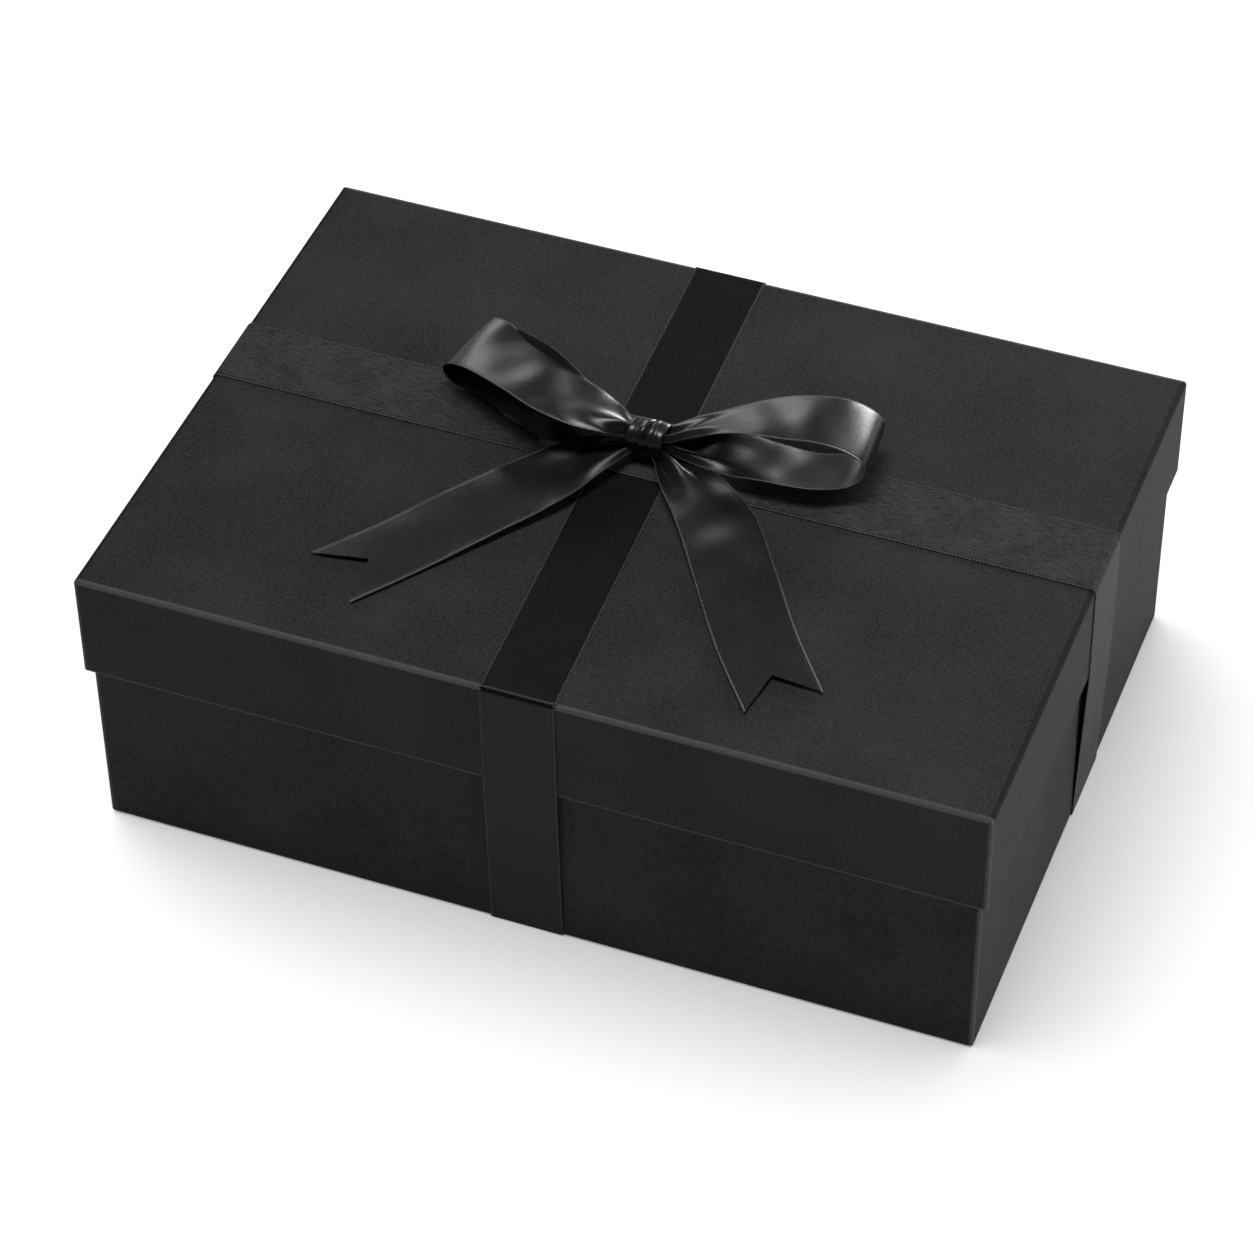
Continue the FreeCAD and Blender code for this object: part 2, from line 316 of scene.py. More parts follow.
def satin(name, tone, width, roughness, sheen, ribbon):
    """Woven ribbon: threads along it, a fine twill, and a stitched selvedge down each side."""
    def build():
        finish = Finish(name)
        across, along = finish.cloth()
        inset = width / 2 - abs(across)
        across_twill, along_twill = 2 * math.pi / (0.62 * MM), 2 * math.pi / (0.80 * MM)
        threads = finish.noise(finish.joined(across * 2600.0, along * 240.0), 1.0, 3.0, 0.6)
        picks = finish.noise(finish.joined(across * 700.0, along * 2300.0, 4.0), 1.0, 3.0, 0.6)
        twill = (across * across_twill + along * along_twill).sine()
        creases = finish.noise(finish.joined(across * 95.0, along * 60.0, 9.0), 1.0, 2.0, 0.5)
        edge = 1.0 - inset.eased(ribbon.selvedge * 0.72, ribbon.selvedge)
        groove = inset.eased(ribbon.selvedge * 0.75, ribbon.selvedge) * (
            1.0 - inset.eased(ribbon.selvedge * 1.25, ribbon.selvedge * 1.9))
        stitch = (along * (2 * math.pi / ribbon.stitch) + across * 900.0).sine().eased(0.0, 0.9)
        tone_mix = threads * 0.5 + picks * 0.35 + creases * 0.15
        body = finish.mixed(tone_mix.eased(0.36, 0.64), shaded(tone, 0.35), shaded(tone, 1.8))
        # Painted shade in the groove just inside each selvedge.
        groove_shaded = finish.mixed(groove * 0.75, body, shaded(tone, 0.35))
        colour_all = finish.mixed(edge * stitch * 0.8, groove_shaded, ribbon.stitching)
        height = (threads * 0.8 + picks * 0.5 + twill * 0.10 + edge * (stitch * 1.3 + 0.4)
                  - groove * 0.6)
        weave = finish.raised(height, 0.045 * MM)
        normal = finish.raised(creases, 0.12 * MM * sheen, weave)
        dull = threads * 0.10 + edge * 0.22 + (roughness - 0.05)
        return finish.done({"Base Color": colour_all, "Roughness": dull, "Specular IOR Level": sheen,
                            "Normal": normal})
    return once(name, build)


def band_satin(way, ribbon):
    """Width and satin of the ribbon that goes round the short or the long way."""
    tone, width, roughness, sheen = (getattr(ribbon, f"{way}_{what}")
                                     for what in ("band", "width", "roughness", "sheen"))
    width = round(width, 6)
    return width, satin(f"{way}_way_satin", tone, width, roughness, sheen, ribbon)


def bow_satin(name, width, ribbon):
    """Satin of the bow, with its selvedges half a width from the middle."""
    return satin(name, ribbon.bow, width, ribbon.bow_roughness, ribbon.bow_sheen, ribbon)


# ---- meshes ----

SHARP_FOLD = 0.7                   # radians between two faces, from which their edge is sharp


def add_piece(name, points, faces, material, cloth=None, wear=None):
    """New object from points in metres, closed and facing outwards, with its own cloth map."""
    mesh = bpy.data.meshes.new(name)
    mesh.from_pydata([tuple(point) for point in points], [], faces)
    if wear is not None:
        mesh.attributes.new("wear", "FLOAT", "POINT").data.foreach_set("value", wear)
    if cloth is not None:
        layer = mesh.uv_layers.new(name="cloth")
        corner = np.empty(len(mesh.loops), dtype=np.int32)
        mesh.loops.foreach_get("vertex_index", corner)
        layer.data.foreach_set("uv", np.asarray(cloth, dtype=np.float32)[corner].ravel())
    work = bmesh.new()
    work.from_mesh(mesh)
    bmesh.ops.recalc_face_normals(work, faces=work.faces)
    open_edges = sum(1 for edge in work.edges if not edge.is_manifold)
    work.to_mesh(mesh)
    work.free()
    if open_edges:
        raise RuntimeError(f"{name} has {open_edges} open edges")
    mesh.shade_smooth()
    mesh.set_sharp_from_angle(angle=SHARP_FOLD)
    mesh.materials.append(material)
    piece = bpy.data.objects.new(name, mesh)
    bpy.context.scene.collection.objects.link(piece)
    return piece


def ringed(rings):
    """Faces between neighbouring rings of points, and one over each end."""
    faces = []
    for first, second in zip(rings, rings[1:]):
        for i in range(len(first)):
            j = (i + 1) % len(first)
            faces.append((first[i], first[j], second[j], second[i]))
    return faces + [tuple(rings[0]), tuple(rings[-1])]


def woven(name, surface, across, along, ribbon, material):
    """Ribbon of real thickness on a grid of points, rounded off down each side.

    surface is rows by columns by 3; across and along are the flat cloth's values on that grid.
    """
    rows, columns = surface.shape[:2]
    run = np.gradient(surface, axis=0)
    over = np.gradient(surface, axis=1)
    facing = np.cross(over, run)
    facing /= np.maximum(np.linalg.norm(facing, axis=2, keepdims=True), 1e-12)
    inset = np.minimum(across - across.min(), across.max() - across) / ribbon.selvedge
    thinned = 0.45                 # share of the thickness that the outermost thread lacks
    full = 1.0 - thinned * np.clip(1.0 - inset * 4.0, 0, 1)
    half = (ribbon.thickness / 2 * full)[..., None]
    points = np.concatenate([(surface + facing * half).reshape(-1, 3),
                             (surface - facing * half).reshape(-1, 3)])
    flat = np.stack([across, along], axis=2).reshape(-1, 2)
    index = np.arange(rows * columns).reshape(rows, columns)
    under = rows * columns
    faces = []
    for i in range(rows - 1):
        for j in range(columns - 1):
            a, b, c, d = index[i, j], index[i, j + 1], index[i + 1, j + 1], index[i + 1, j]
            faces += [(a, b, c, d), (d + under, c + under, b + under, a + under)]
    rim = ([index[0, j] for j in range(columns)] + [index[i, -1] for i in range(1, rows)]
           + [index[-1, j] for j in range(columns - 2, -1, -1)]
           + [index[i, 0] for i in range(rows - 2, 0, -1)])
    for a, b in zip(rim, rim[1:] + rim[:1]):
        faces.append((b, a, a + under, b + under))
    faces = [tuple(int(corner) for corner in face) for face in faces]
    return add_piece(name, points, faces, material, np.concatenate([flat, flat]))


def spread(width, selvedge, middle):
    """Values across a ribbon: close together in the selvedges, even between them."""
    edge = np.array([0.0, 0.12, 0.3, 0.6, 0.9, 1.2, 1.7]) * selvedge
    first = width / 2 - 2.4 * selvedge
    inner = np.linspace(-first, first, middle)
    return np.concatenate([edge - width / 2, inner, (width / 2 - edge)[::-1]])


def lengths(points):
    """Running length along a line of points."""
    return np.concatenate([[0.0], np.cumsum(np.linalg.norm(np.diff(points, axis=0), axis=1))])


# ---- box ----

def rounded_ring(half_x, half_y, radius, z, steps=6, runs=10):
    """Rounded rectangle as a closed ring of points, and a mark for each of them.

    The mark is 1 on the corners, 0 on the long sides, 2 on the short sides and -1 where a short side
    meets its corner.
    """
    radius = max(radius, 0.05 * MM)
    points, marks = [], []
    for quarter, (x_side, y_side) in enumerate(((1, 1), (-1, 1), (-1, -1), (1, -1))):
        hub = (x_side * (half_x - radius), y_side * (half_y - radius))
        for step in range(steps + 1):
            angle = (quarter + step / steps) * math.pi / 2
            points.append((hub[0] + radius * math.cos(angle), hub[1] + radius * math.sin(angle), z))
            marks.append(1.0)
        next_side = ((-1, 1), (-1, -1), (1, -1), (1, 1))[quarter]
        end_angle = (quarter + 1) * math.pi / 2
        start = np.array(points[-1])
        stop = np.array((next_side[0] * (half_x - radius) + radius * math.cos(end_angle),
                         next_side[1] * (half_y - radius) + radius * math.sin(end_angle), z))
        margin = 0.5 * MM / np.linalg.norm(stop - start)
        even = np.linspace(0, 1, runs + 1)[1:-1]
        for part in (margin, 2.4 * margin, *even, 1 - 2.4 * margin, 1 - margin):
            points.append(tuple(start + (stop - start) * part))
            beside = min(part, 1 - part) < 1.5 * margin
            marks.append(0.0 if quarter in (0, 2) else -1.0 if beside else 2.0)
    return points, marks


def turned(hub, radius, start, end, steps):
    """Arc in a profile of (inset, depth) pairs, from start to end in degrees."""
    angles = np.linspace(math.radians(start), math.radians(end), steps + 1)
    return [(hub[0] + radius * math.cos(a), hub[1] + radius * math.sin(a)) for a in angles]


def cover_shell(name, half_x, half_y, face_z, rim_z, edge, paper):
    """Covering paper of one half: outside, over the rim and down the inside, as one thin shell.

    The value on each point is 1 where the paper is folded and at the rim: wear with a painted
    highlight. It is 0.7 on the upright corners, a painted highlight, and below 0 where it is darker:
    painted shade on the folds of the short sides, and a dark seam beside those sides' corners.
    """
    deep = abs(rim_z - face_z)
    way = 1 if rim_z > face_z else -1
    wall = paper.board + 2 * paper.thickness
    floor = paper.board + paper.thickness
    thick, rim, near = paper.thickness, paper.rim, 0.4 * MM
    lip = deep - rim
    outside = ([(edge + near, 0)] + turned((edge, edge), edge, 270, 180, 8)
               + [(0, edge + near), (0, deep * 0.35), (0, deep * 0.7), (0, lip - near)]
               + turned((rim, lip), rim, 180, 90, 4) + turned((wall - rim, lip), rim, 90, 0, 4)
               + [(wall, lip - near), (wall, deep * 0.5), (wall, floor + near), (wall, floor)])
    inside = ([(wall - thick, floor), (wall - thick, deep - thick), (thick, deep - thick),
               (thick, edge)] + turned((edge, edge), edge - thick, 180, 270, 4)[1:]
              + [(edge + near, thick)])
    points, wear, rings = [], [], []
    for number, (inset, depth) in enumerate(outside + inside):
        ring, marks = rounded_ring(half_x - inset, half_y - inset, paper.upright - inset,
                                   face_z + way * depth)
        rings.append(range(len(points), len(points) + len(ring)))
        points += ring
        fold = 0 < inset < edge and depth < edge
        edge_wear_and_light = number < len(outside) and (fold or depth > lip - near / 2)
        # Pale for wear with a painted highlight, below 0 for painted shade on the short sides' folds and
        # for dark seams.
        for mark in marks:
            if edge_wear_and_light:
                wear.append(-0.8 if fold and mark in (-1.0, 2.0) else 1.0)
            else:
                wear.append(0.0 if mark == 2.0 else 0.7 * mark * (inset < edge))
    return add_piece(name, points, ringed(rings), covering_paper(paper), wear=wear)


class GIFT_OT_covers(bpy.types.Operator):
    """Wrap the lid and the base in covering paper"""
    bl_idname = "gift.covers"
    bl_label = "Covering Papers"

    def execute(self, context):
        paper = context.scene.gift_paper
        lid = cover_shell("lid_paper", lid_high.x, lid_high.y, lid_high.z, lid_low.z,
                          paper.top_edge, paper)
        base = cover_shell("base_paper", base_high.x, base_high.y, base_low.z, base_high.z,
                           paper.foot_edge, paper)
        for piece, body, node in ((lid, "lid", "lid_cover"), (base, "base", "base_cover")):
            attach(piece, body)
            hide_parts(node)
        return {"FINISHED"}


class GIFT_OT_boards(bpy.types.Operator):
    """Give the boards, corner stays and linings their finishes"""
    bl_idname = "gift.boards"
    bl_label = "Boards and Linings"

    def execute(self, context):
        paper = context.scene.gift_paper
        board = plain_paper("raw_greyboard", paper.greyboard, 0.88, 1500, 0.05 * MM)
        lining = plain_paper("charcoal_lining", paper.lining, 0.62, 2400, 0.015 * MM)
        tape = plain_paper("gummed_tape", paper.tape, 0.70, 1900, 0.03 * MM)
        for half in ("base", "lid"):
            finishes = {f"{half}_board": board, f"{half}_lining": lining}
            for corner in ("front_left", "front_right", "back_left", "back_right"):
                finishes[f"{half}_stay_{corner}"] = tape
            for node, material in finishes.items():
                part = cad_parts[node]
                if not part.material_slots:
                    raise RuntimeError(f"{node} has no material slot")
                for slot in part.material_slots:
                    slot.material = material
        return {"FINISHED"}


# ---- ribbons round the box ----

def band_line(start, edge, foot, top_z, bend, skirt):
    """Middle line of half a band, seen from its side: over the lid, round its edge, down to the foot.

    Gives (out, z) pairs, where out is the distance from the box's middle. It is flush with the lid's
    side down to the skirt, and leans in from there to the foot.
    """
    hub = (edge - bend, top_z - bend)
    flat = [(d, top_z) for d in np.linspace(start, hub[0], 46)]
    angles = np.linspace(math.pi / 2, 0, 15)[1:]
    curve = [(hub[0] + bend * math.cos(a), hub[1] + bend * math.sin(a)) for a in angles]
    eased = 1.5 * MM
    upper = [(edge, z) for z in np.linspace(hub[1], skirt + eased, 14)[1:]]
    lean = (edge - foot[0]) / (skirt - foot[1])
    lower = [(edge - lean * (skirt - z), z) for z in np.linspace(skirt - eased, foot[1], 26)]
    return np.array(flat + curve + upper + lower)


def band_half(name, route, width, side, ribbon, material):
    """Half a band: a ribbon whose middle line is route and whose width runs along side."""
    across = spread(width, ribbon.selvedge, 15)
    surface = route[:, None, :] + across[None, :, None] * np.array(side, dtype=float)
    along = lengths(route)
    grid_across, grid_along = np.meshgrid(across, along)
    return woven(name, surface, grid_across, grid_along, ribbon, material), along[-1]


class GIFT_OT_bands(bpy.types.Operator):
    """Lay both ribbons over the lid, down its sides and in to the foot"""
    bl_idname = "gift.bands"
    bl_label = "Bands"

    def execute(self, context):
        ribbon = context.scene.gift_ribbon
        paper = context.scene.gift_paper
        half = ribbon.thickness / 2
        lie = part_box("ribbon_top_short")[1].z - half
        bend = paper.top_edge + (lie - lid_high.z)
        crossing = (knot_low + knot_high) / 2
        crossed, ramp = 18.0 * MM, 5.0 * MM    # how far the upper ribbon's step reaches and rises
        step_up = 1.04 * ribbon.thickness      # height of that step, with a little air
        for name, axis, way in (("front", 1, -1), ("back", 1, 1), ("left", 0, -1), ("right", 0, 1)):
            low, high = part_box(f"ribbon_drop_{name}")
            short_way = axis == 1
            width, material = band_satin("short" if short_way else "long", ribbon)
            other = 1 - axis
            reach = max(-low[axis], high[axis]) - half
            inner = min(abs(low[axis]), abs(high[axis])) + half
            line = band_line(crossing[axis] * way, reach, (inner, low.z), lie, bend, lid_low.z)
            out, z = line[:, 0], line[:, 1]
            if name == "right":
                top_middle, foot_middle = low.y + width / 2, high.y - width / 2
            else:
                top_middle = foot_middle = (low[other] + high[other]) / 2
            down = np.clip((high.z - z) / (high.z - low.z), 0, 1)
            middle = top_middle + (foot_middle - top_middle) * down
            if short_way:
                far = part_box("ribbon_drop_back" if name == "front" else "ribbon_drop_front")
                across_way = (far[0].x + far[1].x) / 2
                edge = lid_high.y - paper.top_edge
                on_top = np.clip((edge - out) / (2 * edge), 0, 1)
                middle = middle + (across_way - top_middle) * on_top
                route = np.stack([middle, out * way, z], axis=1)
            else:
                step = np.clip((crossed - np.abs(out * way - crossing.x)) / ramp, 0, 1)
                z = z + step_up * step * step * (3 - 2 * step)
                route = np.stack([out * way, middle, z], axis=1)
            side = (1, 0, 0) if short_way else (0, 1, 0)
            piece, long_side = band_half(f"band_{name}", route, width, side, ribbon, material)
            fold = Vector((0, 0, 0))
            fold[axis], fold[other] = way * reach, top_middle
            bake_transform(piece)
            top_node = "ribbon_top_short" if short_way else "ribbon_top_long"
            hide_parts(top_node, f"ribbon_drop_{name}")
        return {"FINISHED"}


class GIFT_OT_under_bands(bpy.types.Operator):
    """Cross both ribbons under the base and turn their ends up at its foot"""
    bl_idname = "gift.under_bands"
    bl_label = "Ribbons under the Base"

    def execute(self, context):
        ribbon = context.scene.gift_ribbon
        turn = 0.2 * MM                        # radius of the turn up at the base's foot
        for name, axis in (("short", 1), ("long", 0)):
            low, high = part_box(f"ribbon_under_{name}")
            other = 1 - axis
            width, material = band_satin(name, ribbon)
            half = ribbon.thickness / 2
            reach = high[axis] - half
            mid_z = (low.z + high.z) / 2
            angles = np.linspace(math.pi / 2, 0, 7)
            up = [(reach - turn + turn * math.cos(a), mid_z + turn - turn * math.sin(a)) for a in angles]
            flat = [(d, mid_z) for d in np.linspace(-(reach - turn), reach - turn, 60)[1:-1]]
            line = np.array([(-d, z) for d, z in reversed(up)] + flat + up)
            first = low[other] + width / 2
            last = high[other] - width / 2
            if axis:
                first, last = last, first
            slide = first + (last - first) * (line[:, 0] + reach) / (2 * reach)
            route = np.zeros((len(line), 3))
            route[:, axis], route[:, other], route[:, 2] = line[:, 0], slide, line[:, 1]
            side = (1, 0, 0) if axis else (0, 1, 0)
            piece, long_side = band_half(f"under_band_{name}", route, width, side, ribbon, material)
            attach(piece, "base")
            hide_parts(f"ribbon_under_{name}")
        return {"FINISHED"}


# ---- bow ----
# Stations of a bow ribbon's middle line, in millimetres: x, y, height above the lid, then the
# heading and the tilt of its width in degrees, and the width that it has there.

LOOPS = {
    "left": ((-6.0, 11.5, 9.8, 88, 0, 8), (-10.0, 11.4, 10.4, 86, -4, 11),
             (-15, 11.0, 12.2, 84, -8, 17), (-24, 10.8, 14.7, 80, -9, 24),
             (-34, 12.6, 16.4, 75, -8, 26.5), (-46.3, 18.4, 16.6, 71, -7, 27),
             (-59, 25.0, 15.2, 69, -5, 27), (-69.5, 30.8, 13.6, 69, 3, 27),
             (-75.2, 33.6, 10.3, 70, 10, 27), (-73.2, 33.6, 6.9, 69, 21, 27),
             (-63.0, 30.0, 7.7, 66, 33, 27), (-49, 23.4, 9.0, 69, 38, 27),
             (-36, 16.8, 8.2, 76, 35, 26), (-21, 12.0, 7.2, 82, 22, 17),
             (-11.0, 11.6, 7.0, 85, 4, 10), (-6.0, 11.5, 7.0, 88, 0, 8)),
    "right": ((1.5, 12.0, 9.8, 95, 0, 8), (6.0, 12.8, 10.6, 97, -6, 10),
              (13, 16.2, 13.0, 99, -14, 15), (26, 21.4, 16.2, 100, -17, 23),
              (38.5, 24.4, 18.2, 102, -10, 27), (52, 25.8, 20.3, 99, -6, 27),
              (62, 26.6, 19.6, 97, -4, 27), (69.3, 27.5, 15.5, 95, -4, 27),
              (70.8, 27.2, 10, 94, -4, 27), (66.3, 23.8, 4.7, 93, -12, 27),
              (54, 18.4, 4.2, 99, -15, 27), (39, 16.4, 5.3, 102, -11, 26),
              (25, 15.2, 6.7, 101, 3, 22), (13, 13.4, 7.0, 98, 12, 14),
              (6.0, 12.2, 7.0, 97, 6, 9.5), (1.5, 12.0, 7.0, 95, 0, 8)),
}
TAILS = {
    "left": ((-5.5, 10.0, 4.8, 125, 0, 8), (-9.5, 8.0, 5.2, 138, 0, 9), (-17, 1, 5.2, 138, 0, 17),
             (-29, -15, 4, 140, 0, 25), (-45, -36, 2.5, 141, 0, 27), (-62, -60, 1.2, 141, 0, 27),
             (-77.4, -80.8, 1.0, 141, 0, 27.5)),
    "right": ((1.5, 9.5, 4.8, 50, 0, 8), (5.5, 7.0, 5.2, 38, 0, 9), (16.5, -1, 5.2, 33, 0, 20),
              (30.7, -14.3, 3.3, 34, 0, 26), (44.6, -35, 1.6, 37, 0, 27), (61, -60.8, 1.1, 40, 0, 27),
              (78.5, -84.3, 1.0, 40, 0, 26.5)),
}
NOTCHES = {"left": 14.8 * MM, "right": 12.1 * MM}

# Where each ribbon's folds start across it, in radians.
LOOP_PHASES = {"left": 0.4, "right": 2.3}
TAIL_PHASES = {"left": 2.6, "right": 0.2}

# Creases of the knot's ribbon: place along the bow, lean over 60 degrees, rise and half width in
# millimetres, then the place and the half length round the knot in degrees.
CREASES = ((0.6, -0.9, -1.15, 0.55, 112, 42), (-0.6, -0.9, 0.45, 0.9, 100, 40),
           (2.0, -0.5, 0.40, 1.1, 95, 45), (-3.6, 0.5, -0.30, 0.6, 150, 40),
           (3.9, 0.4, -0.32, 0.6, 140, 45), (-5.2, 0.2, 0.25, 0.8, 110, 60),
           (-2.2, 0.0, -0.22, 0.5, 215, 50))


def through(stations, place):
    """Values of the stations at fractional places, on a smooth curve that goes through each one."""
    known = np.array(stations, dtype=float)
    last = len(known) - 1
    known = np.vstack([2 * known[0] - known[1], known, 2 * known[-1] - known[-2]])
    first = np.clip(place.astype(int), 0, last - 1)
    part = (place - first)[..., None]
    a, b, c, d = (known[first + step] for step in range(4))
    return 0.5 * (2 * b + (c - a) * part + (2 * a - 5 * b + 4 * c - d) * part ** 2
                  + (3 * b - a - 3 * c + d) * part ** 3)


def bow_ribbon(name, stations, bow, ribbon, notch=0.0, phase=0.0, rows=230):
    """Ribbon of the bow on its stations: pleated where it is gathered, crowned and softly rippled."""
    dense = np.linspace(0, len(stations) - 1, 900)
    walked = lengths(through(stations, dense)[:, :3] * MM)
    total = walked[-1]
    across = spread(bow.width, ribbon.selvedge, 33)
    t = (across / bow.width)[None, :]                  # -0.5 at one selvedge, 0.5 at the other
    along = np.linspace(0, 1, rows)[:, None] * (total - notch * (1.0 - np.abs(2 * t)))
    place = np.interp(along, walked, dense)
    at = through(stations, place)
    centre = at[..., :3] * MM + UP * lid_high.z
    heading, tilt = np.radians(at[..., 3]), np.radians(at[..., 4])
    wide = at[..., 5] * MM
    side = np.stack([np.cos(heading) * np.cos(tilt), np.sin(heading) * np.cos(tilt),
                     np.sin(tilt)], axis=2)
    ahead = through(stations, place + 0.02)[..., :3] - through(stations, place - 0.02)[..., :3]
    facing = np.cross(side, ahead)
    facing /= np.linalg.norm(facing, axis=2, keepdims=True)
    outward = facing * np.sign(facing[rows // 5, :, 2].mean())
    upward = facing * np.where(facing[..., 2:] < 0, -1.0, 1.0)
    fullest = 0.62                     # share of the width drawn in where the pleats are deepest
    drawn_in = np.clip((1 - wide / bow.width) / fullest, 0, 1)
    pleat = bow.deepest * drawn_in ** 2 * (3 - 2 * drawn_in)
    folds = (np.cos(2 * math.pi * bow.pleats * t + phase)
             + 0.3 * np.cos(3.4 * math.pi * bow.pleats * t + 2 * phase + 0.8))
    folds = folds * (1 - 0.8 * np.abs(2 * t) ** 3)
    crown = bow.crown * (1 - 4 * t ** 2) * np.clip(wide / bow.width, 0, 1) ** 3
    from_knot = along if notch else np.minimum(along, total - along)
    settled = 36 * MM                  # from the knot to where the waves have mostly died away
    short_wave, long_wave = 350, 190   # radians per metre of ribbon
    calm = (1 - 0.7 * np.abs(2 * t) ** 3) * np.clip(wide / bow.width, 0, 1) ** 2
    wave = bow.ripple * calm * (0.14 + 1.2 * np.exp(-(from_knot / settled) ** 2)) * (
        np.sin(along * short_wave + 3.4 * t + phase) * 0.8
        + np.sin(along * long_wave - 4.1 * t + 2 * phase))
    surface = (centre + side * (wide * t)[..., None] + upward * (pleat * folds)[..., None]
               + outward * (crown + wave)[..., None])
    material = bow_satin("glossy_bow_satin", bow.width, ribbon)
    flat_across = np.broadcast_to(across[None, :], along.shape)
    piece = woven(name, surface, flat_across, along, ribbon, material)
    return piece, float(total)


class GIFT_OT_loops(bpy.types.Operator):
    """Curl the bow's two loops"""
    bl_idname = "gift.loops"
    bl_label = "Bow Loops"

    def execute(self, context):
        bow, ribbon = context.scene.gift_bow, context.scene.gift_ribbon
        for side, stations in LOOPS.items():
            piece, total = bow_ribbon(f"bow_loop_ribbon_{side}", stations, bow, ribbon,
                                      phase=LOOP_PHASES[side], rows=300)
            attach(piece, "ribbon")
            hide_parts(f"bow_loop_{side}")
        return {"FINISHED"}


class GIFT_OT_tails(bpy.types.Operator):
    """Lay the bow's two tails out and notch their ends"""
    bl_idname = "gift.tails"
    bl_label = "Bow Tails"

    def execute(self, context):
        bow, ribbon = context.scene.gift_bow, context.scene.gift_ribbon
        for side, stations in TAILS.items():
            notch = NOTCHES[side]
            piece, total = bow_ribbon(f"bow_tail_ribbon_{side}", stations, bow, ribbon, notch,
                                      TAIL_PHASES[side])
            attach(piece, "ribbon")
            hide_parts(f"bow_tail_{side}")
        return {"FINISHED"}


def knot_section(turn, half_y, half_z, squareness=2.5):
    """Point and outward direction on the knot's outline; turn 0 is the back, 90 the top."""
    c, s = np.cos(turn), np.sin(turn)
    power = 2 / squareness
    y = half_y * np.sign(c) * np.abs(c) ** power
    z = half_z * np.sign(s) * np.abs(s) ** power
    out = np.stack([np.zeros_like(y), y / half_y ** 2, z / half_z ** 2], axis=-1)
    return y, z, out / np.linalg.norm(out, axis=-1, keepdims=True)


